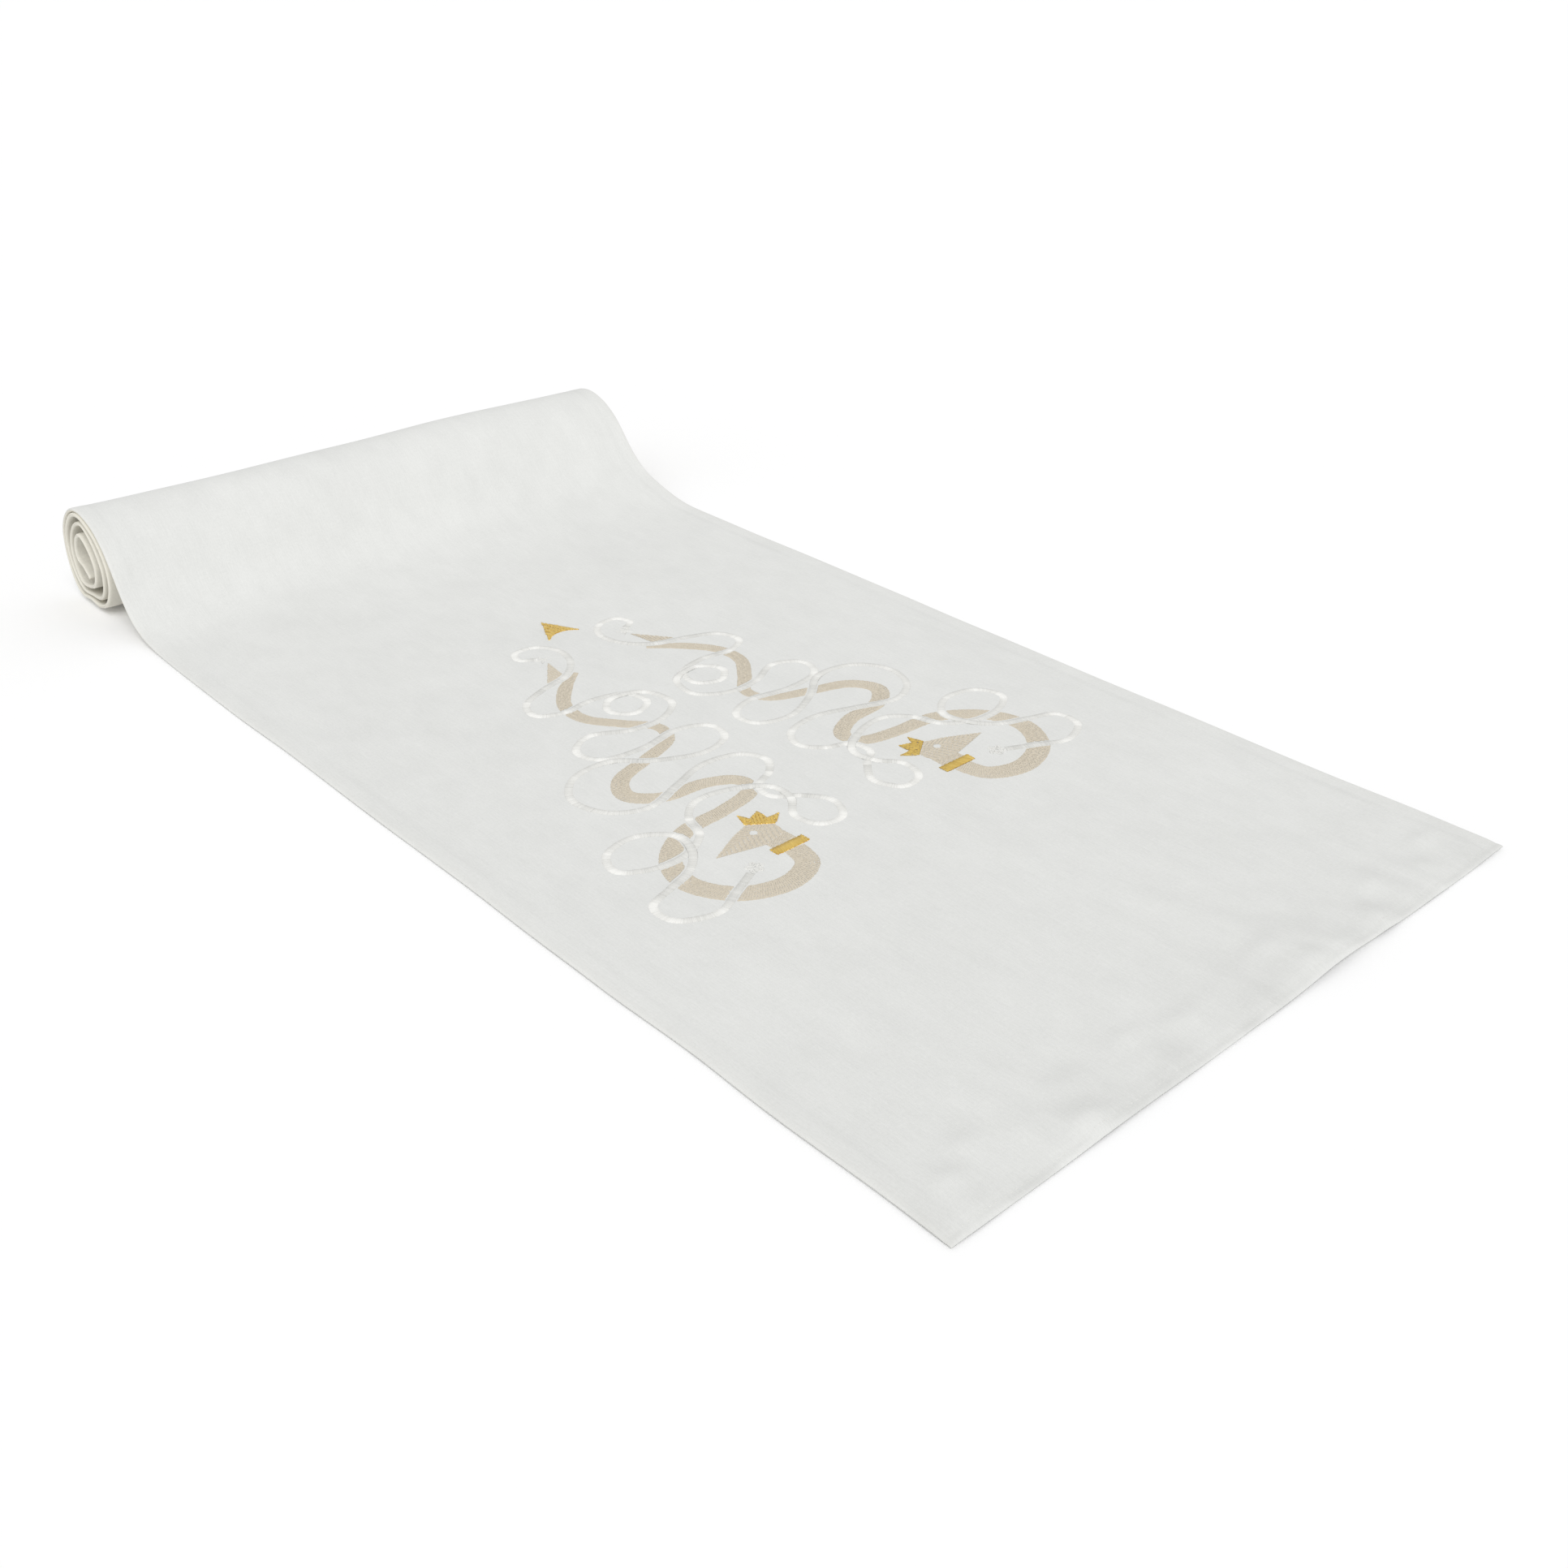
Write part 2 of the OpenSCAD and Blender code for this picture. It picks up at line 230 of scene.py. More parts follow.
def outer_height(x, s):
    """Height of a panel's outer surface above the middle line."""
    inset = HALF_W - np.abs(x)
    puffed = np.clip((s - FLAT_L - 20) / 60, 0, 1)
    thick = CLOTH_T + (ROLLED_T - CLOTH_T) * puffed + ALLOWANCE_T / (1 + np.exp((inset - ALLOWANCE) / 0.6))
    thick = thick * (1 - HEM_PRESS * np.exp(-((s / 7) ** 2)))
    thick = thick * (EDGE_LEAST + (1 - EDGE_LEAST) * edge_share(x, s))
    for row in (s - HEM_INSET, TOTAL_L - s - HEM_INSET):
        thick = thick - GROOVE * np.exp(-((row / 1.1) ** 2))
    return thick


def inner_height(x, s):
    """Height of the surface where the two panels meet, which opens to a crease at the outline."""
    return 0.03 + 0.06 * (1 - edge_share(x, s)) ** 3


# ---------------------------------------------------------------- meshes
def new_mesh(name, verts, faces, attributes=(), material=None):
    mesh = bpy.data.meshes.new(name)
    mesh.from_pydata(verts.tolist(), [], faces.tolist())
    for key, kind, values in attributes:
        layer = mesh.attributes.new(key, kind, "POINT")
        layer.data.foreach_set("vector" if kind == "FLOAT_VECTOR" else "value",
                               np.ascontiguousarray(values, np.float32).ravel())
    mesh.shade_smooth()
    mesh.update()
    piece = bpy.data.objects.new(name, mesh)
    bpy.context.scene.collection.objects.link(piece)
    if material:
        mesh.materials.append(material)
    return piece


def closed_sheet(name, xs, ss, side, material):
    """One panel: its outer surface and the surface that meets the other panel, joined at the outline."""
    x, s = np.meshgrid(xs, ss)
    outer = lay(x, s, side * outer_height(x, s))
    inner = lay(x, s, side * inner_height(x, s))
    rows, cols = x.shape
    top = np.arange(rows * cols).reshape(rows, cols)
    under = top.copy()
    under[1:-1, 1:-1] = rows * cols + np.arange((rows - 2) * (cols - 2)).reshape(rows - 2, cols - 2)

    def quads(g):
        return np.stack([g[:-1, :-1], g[:-1, 1:], g[1:, 1:], g[1:, :-1]], -1).reshape(-1, 4)

    faces = np.vstack([quads(top), quads(under)[:, ::-1]])
    faces = faces if side > 0 else faces[:, ::-1]
    flat = np.stack([x, s, 0 * x], -1) * MM
    # Painted warm shade on cloth that faces other cloth: all of the roll's inside, but not the outside of its
    # cover, and a little along the outline
    hidden_from = FLAT_L + (RAMP_L + COVER_L if side > 0 else 20)
    warm_shade = np.clip((s - hidden_from) / 40, 0, 1) * 0.9 + 0.1 * np.exp(-(HALF_W - np.abs(x)) / 3)

    def both(a):
        inside = a[1:-1, 1:-1].reshape((rows - 2) * (cols - 2), -1)
        return np.concatenate([a.reshape(rows * cols, -1), inside])

    verts = np.concatenate([outer.reshape(-1, 3), inner[1:-1, 1:-1].reshape(-1, 3)])
    inset = HALF_W - np.abs(x)
    # Painted shade along the seam allowance's step, stronger at the right edge than the left, and in patches
    shade_patches = np.clip(0.6 + 0.5 * soft_noise(np.sign(x) * 7, s / 45, 3.5), 0, 1)
    crease = (0.65 + 0.35 * np.sign(x)) * bump(inset, ALLOWANCE + 1, 1.5) * shade_patches
    # Painted shade: the flat end is made a little darker, in patches
    crease = crease + np.exp(-s / 18) * np.clip(0.8 + soft_noise(x / 16, s / 20, 30.5), 0, 1.5)
    attributes = [("flat_at", "FLOAT_VECTOR", both(flat)), ("warm_shade", "FLOAT", both(warm_shade)),
                  ("crease", "FLOAT", both(crease))]
    return new_mesh(name, verts, faces, attributes, material)


SHARP_ANGLE = math.radians(80)  # the two sides of a flat thread meet more sharply than this


def stitches(name, a, b, material, thick=0.42, flat=0.42, arch=0.3, sink=0.25, raised=0.0, uneven=0.0,
             side=1, holes=0.3, lighter=0.0):
    """Threads from needle hole a to needle hole b, in flat coordinates. Each is a closed, slightly arched
    tube whose ends go down into the cloth. flat is a thread's half height as a share of its thickness, uneven
    is how far some stand above the rest, holes is how much painted shade darkens the thread at its ends, and
    lighter adds to a thread's tone, which on the ribbon is its painted highlight."""
    a, b = np.asarray(a, float), np.asarray(b, float)
    count = len(a)
    raised = np.broadcast_to(np.asarray(raised, float), (count,)) + uneven * rng.random(count)
    across = (b - a) / np.linalg.norm(b - a, axis=1)[:, None]
    beside = np.stack([-across[:, 1], across[:, 0]], -1)
    dip = np.clip(0.5 / np.linalg.norm(b - a, axis=1), 0.06, 0.3)[:, None]
    t = np.concatenate([0 * dip, dip, 0 * dip + 0.5, 1 - dip, 0 * dip + 1], 1)
    ring = np.array([0.45, 1, 1, 1, 0.45])
    wide, high = thick / 2, thick * flat
    top = np.array([-sink, 0.8 * arch, arch, 0.8 * arch, -sink])[None]
    corners = [(1, 0), (0, 1), (-1, 0), (0, -1)]
    line = a[:, None] + (b - a)[:, None] * t[:, :, None]
    pts = np.zeros((count, 5, 4, 3))
    for k, (c, d) in enumerate(corners):
        at = line + beside[:, None] * (c * wide * ring)[None, :, None]
        off = top + d * high * ring[None] + raised[:, None]
        ground = outer_height(at[..., 0], at[..., 1])
        pts[:, :, k] = lay(at[..., 0], at[..., 1], side * (ground + off))
    index = np.arange(count * 20).reshape(count, 5, 4)
    walls = [np.stack([index[:, r, k], index[:, r, (k + 1) % 4], index[:, r + 1, (k + 1) % 4],
                       index[:, r + 1, k]], -1) for r in range(4) for k in range(4)]
    caps = [index[:, 0, ::-1], index[:, 4]]
    faces = np.concatenate(walls + caps)
    faces = faces[:, ::-1] if side < 0 else faces
    own = rng.normal(0, 0.35, count).clip(-1, 1)
    # Painted shade: each thread is darker at its ends, where it goes down into its needle holes, by holes
    dark = np.where(rng.random(count) < 0.45, holes, holes * 0.35)
    tone = (own * 0.5 + lighter)[:, None] - dark[:, None] * np.array([4, 0.4, 0, 0.4, 4])[None]
    tone = np.repeat(tone[:, :, None], 4, 2)
    middle = (a + b) / 2
    sideways_to = middle + beside
    wide_way = lay(sideways_to[:, 0], sideways_to[:, 1], 0) - lay(middle[:, 0], middle[:, 1], 0)
    wide_way = np.repeat(wide_way / np.linalg.norm(wide_way, axis=1)[:, None], 20, 0)
    piece = new_mesh(name, pts.reshape(-1, 3), faces,
                     [("tone", "FLOAT", tone), ("across_thread", "FLOAT_VECTOR", wide_way)], material)
    piece.data.set_sharp_from_angle(angle=SHARP_ANGLE)
    return piece


# ---------------------------------------------------------------- materials
def material(name):
    m = bpy.data.materials.new(name)
    m.use_nodes = True
    m.node_tree.nodes.clear()
    tree = m.node_tree
    out = tree.nodes.new("ShaderNodeOutputMaterial")
    shader = tree.nodes.new("ShaderNodeBsdfPrincipled")
    tree.links.new(shader.outputs["BSDF"], out.inputs["Surface"])
    return m, tree, shader


def node(tree, kind, **values):
    n = tree.nodes.new(kind)
    for key, value in values.items():
        if key in n.inputs:
            n.inputs[key].default_value = value
        else:
            setattr(n, key, value)
    return n


def maths(tree, operation, a, b=None, clamp=False):
    n = node(tree, "ShaderNodeMath", operation=operation, use_clamp=clamp)
    for k, v in enumerate((a, b)):
        if v is None:
            continue
        if isinstance(v, (int, float)):
            n.inputs[k].default_value = v
        else:
            tree.links.new(v, n.inputs[k])
    return n.outputs[0]


def mixed(tree, share, a, b):
    """A colour between a and b by a share that varies over the surface."""
    n = node(tree, "ShaderNodeMix", data_type="RGBA")
    tree.links.new(share, n.inputs["Factor"])
    for key, v in (("A", a), ("B", b)):
        socket = [i for i in n.inputs if i.name == key and i.type == "RGBA"][0]
        if isinstance(v, tuple):
            socket.default_value = (*v, 1)
        else:
            tree.links.new(v, socket)
    return [o for o in n.outputs if o.type == "RGBA"][0]


def scaled(tree, source, scale):
    n = node(tree, "ShaderNodeVectorMath", operation="MULTIPLY")
    tree.links.new(source, n.inputs[0])
    n.inputs[1].default_value = scale
    return n.outputs[0]


def cloth_material():
    """Fine plain weave with lengthwise slubs, in its own flat coordinates so that it follows the roll."""
    m, tree, shader = material("runner_cloth")
    at = node(tree, "ShaderNodeAttribute", attribute_name="flat_at").outputs["Vector"]
    warm_shade = node(tree, "ShaderNodeAttribute", attribute_name="warm_shade").outputs["Fac"]
    crease = node(tree, "ShaderNodeAttribute", attribute_name="crease").outputs["Fac"]

    def noise_at(scale, detail=2.0):
        n = node(tree, "ShaderNodeTexNoise", Detail=detail, Scale=1.0)
        tree.links.new(scaled(tree, at, scale), n.inputs["Vector"])
        return n.outputs["Fac"]

    lengthwise = noise_at((1500, 90, 1))
    crosswise = noise_at((110, 1700, 1))
    mottle = noise_at((14, 11, 1), 3.0)
    patches = noise_at((60, 38, 1), 3.0)
    streaks = noise_at((330, 24, 1), 2.0)
    grain = noise_at((1100, 520, 1), 3.0)
    threads = []
    for axis in ("X", "Y"):
        w = node(tree, "ShaderNodeTexWave", bands_direction=axis, Scale=560.0, Distortion=1.2, Detail=1.0)
        w.inputs["Detail Scale"].default_value = 0.4
        tree.links.new(at, w.inputs["Vector"])
        threads.append(w.outputs["Fac"])
    weave = maths(tree, "MULTIPLY", threads[0], threads[1])
    slubs = maths(tree, "ADD", lengthwise, maths(tree, "MULTIPLY", crosswise, 0.6))
    shade = maths(tree, "ADD", maths(tree, "MULTIPLY", slubs, 0.42), maths(tree, "MULTIPLY", mottle, 0.3))
    shade = maths(tree, "ADD", shade, maths(tree, "MULTIPLY", patches, 0.4))
    shade = maths(tree, "ADD", shade, maths(tree, "MULTIPLY", streaks, 0.16))
    shade = maths(tree, "ADD", shade, maths(tree, "MULTIPLY", grain, 0.5))
    # Painted shade, from the seam allowance's step and from the flat end, darkens the cloth here
    shade = maths(tree, "SUBTRACT", shade, maths(tree, "MULTIPLY", crease, 0.26))
    shade = maths(tree, "SUBTRACT", shade, 0.45, clamp=True)
    base = mixed(tree, shade, (0.655, 0.66, 0.642), (0.825, 0.83, 0.81))
    # Colours of the painted warm shade on cloth that faces other cloth
    shaded_ivory = mixed(tree, shade, (0.70, 0.675, 0.595), (0.83, 0.805, 0.72))
    tree.links.new(mixed(tree, warm_shade, base, shaded_ivory), shader.inputs["Base Color"])
    rough = maths(tree, "ADD", maths(tree, "MULTIPLY", slubs, 0.12), 0.78)
    tree.links.new(rough, shader.inputs["Roughness"])
    height = maths(tree, "ADD", maths(tree, "MULTIPLY", weave, 0.32), maths(tree, "MULTIPLY", slubs, 0.8))
    height = maths(tree, "ADD", height, maths(tree, "MULTIPLY", grain, 1.5))
    bumped = node(tree, "ShaderNodeBump", Strength=0.35, Distance=0.00018)
    tree.links.new(height, bumped.inputs["Height"])
    tree.links.new(bumped.outputs["Normal"], shader.inputs["Normal"])
    shader.inputs["Sheen Weight"].default_value = 0.08
    shader.inputs["Sheen Roughness"].default_value = 0.5
    shader.inputs["Specular IOR Level"].default_value = 0.25
    return m


def thread_material(name, dark, light, roughness, specular=0.5, metallic=0.0, silky=0.0):
    """Thread: its tone changes from stitch to stitch, carries painted shade at the needle holes and the
    ribbon's painted highlight, and has a fine grain.
    """
    m, tree, shader = material(name)
    tone = node(tree, "ShaderNodeAttribute", attribute_name="tone").outputs["Fac"]
    place = node(tree, "ShaderNodeTexCoord").outputs["Object"]
    grain = node(tree, "ShaderNodeTexNoise", Scale=2600.0, Detail=2.0)
    tree.links.new(place, grain.inputs["Vector"])
    share = maths(tree, "ADD", maths(tree, "MULTIPLY", tone, 0.4), 0.62)
    share = maths(tree, "ADD", share, maths(tree, "MULTIPLY", grain.outputs["Fac"], 0.3), clamp=True)
    tree.links.new(mixed(tree, share, dark, light), shader.inputs["Base Color"])
    rough = maths(tree, "ADD", maths(tree, "MULTIPLY", grain.outputs["Fac"], 0.2), roughness - 0.1)
    tree.links.new(rough, shader.inputs["Roughness"])
    bumped = node(tree, "ShaderNodeBump", Strength=0.3, Distance=0.0001)
    tree.links.new(grain.outputs["Fac"], bumped.inputs["Height"])
    tree.links.new(bumped.outputs["Normal"], shader.inputs["Normal"])
    way = node(tree, "ShaderNodeAttribute", attribute_name="across_thread").outputs["Vector"]
    tree.links.new(way, shader.inputs["Tangent"])
    shader.inputs["Anisotropic"].default_value = silky
    shader.inputs["Metallic"].default_value = metallic
    shader.inputs["Specular IOR Level"].default_value = specular
    return m


cloth = cloth_material()
sewing_thread = thread_material("sewing_thread", (0.64, 0.64, 0.615), (0.83, 0.83, 0.80), 0.6, 0.4)
bobbin_thread = thread_material("bobbin_thread", (0.70, 0.70, 0.68), (0.84, 0.84, 0.82), 0.6, 0.4)
beige_thread = thread_material("beige_thread", (0.47, 0.41, 0.31), (0.73, 0.66, 0.54), 0.45, 0.5, silky=0.6)
# The ribbon thread's wide range from dark to light carries its painted highlight and shade
ribbon_thread = thread_material("ribbon_thread", (0.48, 0.48, 0.45), (0.95, 0.945, 0.91), 0.3, 0.8,
                                silky=0.8)
gold_thread = thread_material("gold_thread", (0.40, 0.21, 0.03), (1.0, 0.74, 0.22), 0.34, 0.5, 0.7,
                              silky=0.5)


# ---------------------------------------------------------------- the two panels
def near_edge(high):
    """Distances from an edge where the fold rounds, close together."""
    return [0, 0.05, 0.2, 0.5, 0.95, EDGE_ROUND, 2.4, 3.6, 5.4, 7.4, 8.6, 9.4, 10, 10.6, 11.6, high]


inset = near_edge(15)
xs = np.concatenate([-HALF_W + np.array(inset), np.arange(-HALF_W + 18, HALF_W - 17, 3.0),
                     HALF_W - np.array(inset[::-1])])


def roll_rows():
    """Rows along the ramp and the roll, closer together where it turns tightly."""
    turn = np.abs(np.gradient(np.unwrap(np.arctan2(roll_heading[:, 1], roll_heading[:, 0])), roll_along))
    step = np.clip(0.24 / np.maximum(turn, 1e-4), 1.5, 4.5)
    rows = np.cumsum(np.concatenate([[0], np.diff(roll_along) / ((step[1:] + step[:-1]) / 2)]))
    return FLAT_L + np.interp(np.arange(1, rows[-1]), rows, roll_along)


tail_rows = TOTAL_L - np.array(near_edge(15)[::-1])
turns = roll_rows()
ss = np.concatenate([near_edge(15), np.arange(18, 60, 3.0), np.arange(60, FLAT_L - 3, 5.5), [FLAT_L],
                     turns[turns < TOTAL_L - 17], tail_rows])

face_cloth = closed_sheet("face_cloth", xs, ss, 1, cloth)
back_cloth = closed_sheet("back_cloth", xs, ss, -1, cloth)
for piece, word in ((face_cloth, "face"), (back_cloth, "back")):
    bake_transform(piece)
    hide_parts(*[f"{word}_panel_{part}" for part in ("laid", "middle", "ramp", "roll")])

# ---------------------------------------------------------------- sewing threads
STITCH_PITCH = 3.0
STITCH_L = 2.2


def end_stitches(name, s, body, side=1):
    """Row of stitches across the runner, each a little off the line and off its pitch."""
    x = np.arange(-HALF_W + 3, HALF_W - 4, STITCH_PITCH)
    x = x + rng.normal(0, 0.08, len(x))
    off = rng.normal(0, 0.07, (2, len(x)))
    a = np.stack([x, s + off[0]], -1)
    b = np.stack([x + STITCH_L, s + off[1]], -1)
    # holes is the painted shade at the needle holes
    piece = stitches(name, a, b, sewing_thread, thick=0.36, arch=0.05, sink=0.24, side=side, holes=1.5)
    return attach(piece, body)


laid_row = end_stitches("laid_end_topstitch", HEM_INSET, "laid_end")
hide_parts("laid_end_stitches")
laid_under = end_stitches("laid_end_understitch", HEM_INSET, "laid_end", side=-1)
rolled_row = end_stitches("rolled_end_topstitch", TOTAL_L - HEM_INSET, "roll")
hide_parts("rolled_end_stitches")
rolled_under = end_stitches("rolled_end_understitch", TOTAL_L - HEM_INSET, "roll", side=-1)


def seam_stitches(side):
    """Seam thread in the crease between the panels: one short bar across it for each stitch."""
    word = "left" if side < 0 else "right"
    s = np.arange(4, TOTAL_L - 4, 2.5)
    x = np.full(len(s), side * (HALF_W - 0.3))
    bar = np.array([-0.1, -0.03, 0.03, 0.1])
    line = [lay(x, s, np.full(len(s), k)) for k in bar]
    at = np.stack(line, 1)
    along = lay(x, s + 0.2, 0 * s) - lay(x, s, 0 * s)
    outward = np.array([side * 0.12 * MM, 0, 0])
    ring = np.array([0.5, 1, 1, 0.5])[None, :, None]
    pts = np.stack([at + along[:, None] * ring, at + outward * ring, at - along[:, None] * ring,
                    at - outward * ring], 2)
    count = len(s)
    index = np.arange(count * 16).reshape(count, 4, 4)
    walls = [np.stack([index[:, r, k], index[:, r, (k + 1) % 4], index[:, r + 1, (k + 1) % 4],
                       index[:, r + 1, k]], -1) for r in range(3) for k in range(4)]
    faces = np.concatenate(walls + [index[:, 0, ::-1], index[:, 3]])
    faces = faces if side < 0 else faces[:, ::-1]
    tone = np.repeat(rng.normal(0, 0.3, count), 16)
    attributes = [("tone", "FLOAT", tone)]
    piece = new_mesh(f"{word}_seam_thread", pts.reshape(-1, 3), faces, attributes, sewing_thread)
    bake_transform(piece)
    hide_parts(*[f"{word}_seam_{part}" for part in ("laid", "middle", "roll")])
    return piece


left_seam, right_seam = seam_stitches(-1), seam_stitches(1)

# ---------------------------------------------------------------- embroidery, drawn for the left half
# x and s from the middle of the flat end, as in the part's own source
NECK = [(-27, 466, 5), (-44, 452, 9), (-57, 434, 9), (-58, 414, 9), (-46, 396, 9), (-33, 380, 8),
        (-38, 364, 8), (-60, 355, 9), (-84, 346, 10), (-92, 330, 11), (-78, 317, 10), (-54, 314, 10),
        (-38, 304, 10), (-42, 291, 10), (-64, 286, 10), (-92, 283, 11), (-114, 267, 12), (-121, 244, 13),
        (-109, 222, 13), (-86, 213, 13), (-66, 220, 13), (-61, 236, 13)]
RIBBON = [(-33, 496), (-42, 502), (-38, 512), (-24, 511), (-16, 498), (-20, 480), (-34, 466),
          (-54, 460), (-72, 451), (-76, 436), (-62, 428), (-42, 430), (-22, 424), (-18, 408), (-32, 401),
          (-42, 412), (-32, 424), (-12, 418), (-8, 398), (-24, 386), (-46, 386), (-68, 396), (-84, 386),
          (-78, 370), (-54, 366), (-28, 370), (-10, 362), (-12, 346), (-32, 340), (-56, 350), (-78, 366),
          (-102, 364), (-116, 346), (-110, 324), (-90, 314), (-66, 322), (-42, 330), (-20, 326),
          (-12, 312), (-20, 300), (-34, 293), (-36, 280), (-24, 270), (-15, 256), (-22, 241), (-36, 243),
          (-40, 258), (-30, 272), (-30, 288), (-48, 300), (-68, 303), (-82, 292), (-88, 276), (-104, 266),
          (-124, 266), (-140, 276), (-134, 292), (-114, 296), (-98, 284), (-100, 268), (-112, 254),
          (-130, 247), (-146, 240), (-145, 224), (-126, 216), (-108, 224), (-92, 232)]
RIBBON_W = 5.0
TAIL = [(-31, 488), (-49, 463), (-41, 460), (-34, 466)]
HEAD_AT = (-64, 256)
HEAD_R = 11
EYE_AT = (-3, 3)
EYE_R = 2
BEAK = [(-4, 10.2), (-13, 7), (-33, -3), (-14, -8), (-3, -10.5)]
CROWN = [(-8, 8.5), (-11, 19), (-4.5, 15), (0, 22), (4.5, 15), (11, 19), (8, 8.5)]
CROWN_TILT = -35
COLLAR = [(-72, 235), (-50, 235), (-50, 242), (-72, 242)]
THROAT = [(-70, 242), (-53, 242), (-54, 253), (-70, 253)]
TIP = [(-12, 514), (0, 539), (12, 514)]
TIP_ARC = (0, 505, 14)
ROSETTE_AT = (-88, 234)
ROSETTE_R = 3
PETAL_R = 2.2
TIE_AT = (-31, 493)
TIE_POINT = [(-0.5, -2.2), (6.2, 0), (-0.5, 2.2)]
CLEAR = 0.45  # gap left between neighbouring embroidery
FIFTH = 72  # degrees from one petal, or point of the star, to the next
FILL_PITCH = 0.42
GOLD_PITCH = 0.6
PETAL_PITCH = 0.34
STAR_PITCH = 0.3


def turned(points, degrees, at=(0, 0)):
    a = math.radians(degrees)
    p = np.array(points, float)
    return np.stack([p[:, 0] * math.cos(a) - p[:, 1] * math.sin(a) + at[0],
                     p[:, 0] * math.sin(a) + p[:, 1] * math.cos(a) + at[1]], -1)


def in_polygon(points, polygon):
    """Which points lie inside the polygon."""
    x, y = points[..., 0], points[..., 1]
    inside = np.zeros(x.shape, bool)
    corners = np.asarray(polygon, float)
    for (x0, y0), (x1, y1) in zip(corners, np.roll(corners, -1, 0)):
        crosses = (y0 > y) != (y1 > y)
        slope = (x1 - x0) / (y1 - y0) if y1 != y0 else 0
        inside ^= crosses & (x < x0 + (y - y0) * slope)
    return inside


def in_circle(points, at, radius):
    return np.hypot(points[..., 0] - at[0], points[..., 1] - at[1]) < radius


def runs(inside):
    """First and last index of each unbroken stretch that is inside."""
    edges = np.flatnonzero(np.diff(np.concatenate([[0], inside.astype(int), [0]])))
    return zip(edges[::2], edges[1::2] - 1)


def split(a, b, longest, turn):
    """One row of stitches from a to b, none longer than longest, with its needle holes staggered by row."""
    far = np.linalg.norm(b - a)
    if far < 0.5:
        return []
    if far <= longest:
        return [(a, b)]
    first = longest * (0.3 + 0.35 * (turn % 3)) if far > 1.3 * longest else far * (0.4 + 0.1 * (turn % 3))
    first = first * rng.uniform(0.75, 1.2)
    stops = [0, *np.arange(first, far - 0.6, longest), far]
    return [(a + (b - a) * p / far, a + (b - a) * q / far) for p, q in zip(stops[:-1], stops[1:])]


def filled(inside, box, degrees, pitch=FILL_PITCH, longest=3.4):
    """Rows of stitches at an angle over the region where inside(points) is true."""
    (x0, y0), (x1, y1) = box
    middle = np.array([(x0 + x1) / 2, (y0 + y1) / 2])
    reach = math.hypot(x1 - x0, y1 - y0) / 2 + 1
    a = math.radians(degrees)
    along, over = np.array([math.cos(a), math.sin(a)]), np.array([-math.sin(a), math.cos(a)])
    t = np.arange(-reach, reach, 0.2)
    made = []
    for turn, r in enumerate(np.arange(-reach, reach, pitch)):
        line = middle + over * r + along * t[:, None]
        for first, last in runs(inside(line)):
            ragged = rng.uniform(-0.22, 0.22, 2)
            made += split(line[first] + along * ragged[0], line[last] + along * ragged[1], longest, turn)
    return made


ROW_START = 0.3  # how far in from the ends of a line its first and last stitches are


def columns(line, widths, pitch, clear_of=None, longest=99.0, ragged=0.1):
    """Stitches across a line, from one side of it to the other and back, as satin stitch is sewn."""
    along = lengths(line)
    wanted = np.arange(ROW_START, along[-1] - ROW_START, pitch)
    at, head = at_lengths(line, along, wanted), at_lengths(headings(line), along, wanted)
    wide = np.interp(wanted, along, widths)
    side = np.stack([-head[:, 1], head[:, 0]], -1)
    lean = head * pitch * 0.4
    made, row = [], []
    for turn in range(len(wanted)):
        half = wide[turn] / 2 + rng.uniform(-ragged, ragged, 2)
        a, b = at[turn] - side[turn] * half[0] - lean[turn], at[turn] + side[turn] * half[1] + lean[turn]
        if clear_of is None:
            pieces = [(a, b)]
        else:
            t = np.linspace(0, 1, 40)[:, None]
            points = a + (b - a) * t
            pieces = [(points[i], points[j]) for i, j in runs(~clear_of(points))]
        for p, q in pieces:
            found = split(p, q, longest, turn)
            made += found
            row += [turn] * len(found)
    return made, row


neck_line = smooth([p[:2] for p in NECK], 24)
neck_width = np.interp(lengths(neck_line), lengths(neck_line)[::24], [p[2] for p in NECK])
ribbon_line = smooth(RIBBON, 24)
ribbon_along = lengths(ribbon_line)


def near_line(points, line, radius):
    """Which points are within radius of the line."""
    d = np.linalg.norm(points[:, None] - line[None], axis=-1)
    return d.min(1) < radius


def under_ribbon(points):
    return near_line(points, ribbon_line[::2], RIBBON_W / 2 + CLEAR)


def in_rosette(points):
    return in_circle(points, ROSETTE_AT, ROSETTE_R + PETAL_R + CLEAR)


def in_tie(points):
    return in_circle(points, TIE_AT, 3.2)


crown_shape = turned(CROWN, CROWN_TILT, HEAD_AT)
beak_shape = turned(BEAK, 0, HEAD_AT)
eye_at = np.array(HEAD_AT) + EYE_AT


def in_head(points):
    shape = in_circle(points, HEAD_AT, HEAD_R) | in_polygon(points, beak_shape) | in_polygon(points, THROAT)
    eye = in_circle(points, eye_at, EYE_R)
    return shape & ~(eye | in_polygon(points, crown_shape) | under_ribbon(points))


def in_tail(points):
    return in_polygon(points, TAIL) & ~(under_ribbon(points) | in_tie(points)
                                        | near_line(points, neck_line[::2], 3))


def crossing_height():
    """Where the ribbon passes over an earlier stretch of itself, by a share from 0 to 1 along it."""
    at, along = ribbon_line[::3], ribbon_along[::3]
    d = np.linalg.norm(at[:, None] - at[None], axis=-1)
    earlier = along[None] < along[:, None] - 14
    over = (np.where(earlier, d, 99).min(1) < RIBBON_W).astype(float)
    spread = np.array([1, 2, 3, 2, 1]) / 9
    return along, np.convolve(over, spread, "same")


RIBBON_PITCH = 0.37
BEND_SHINE = 14  # painted highlight added to the ribbon's tone for each radian that it bends in a millimetre
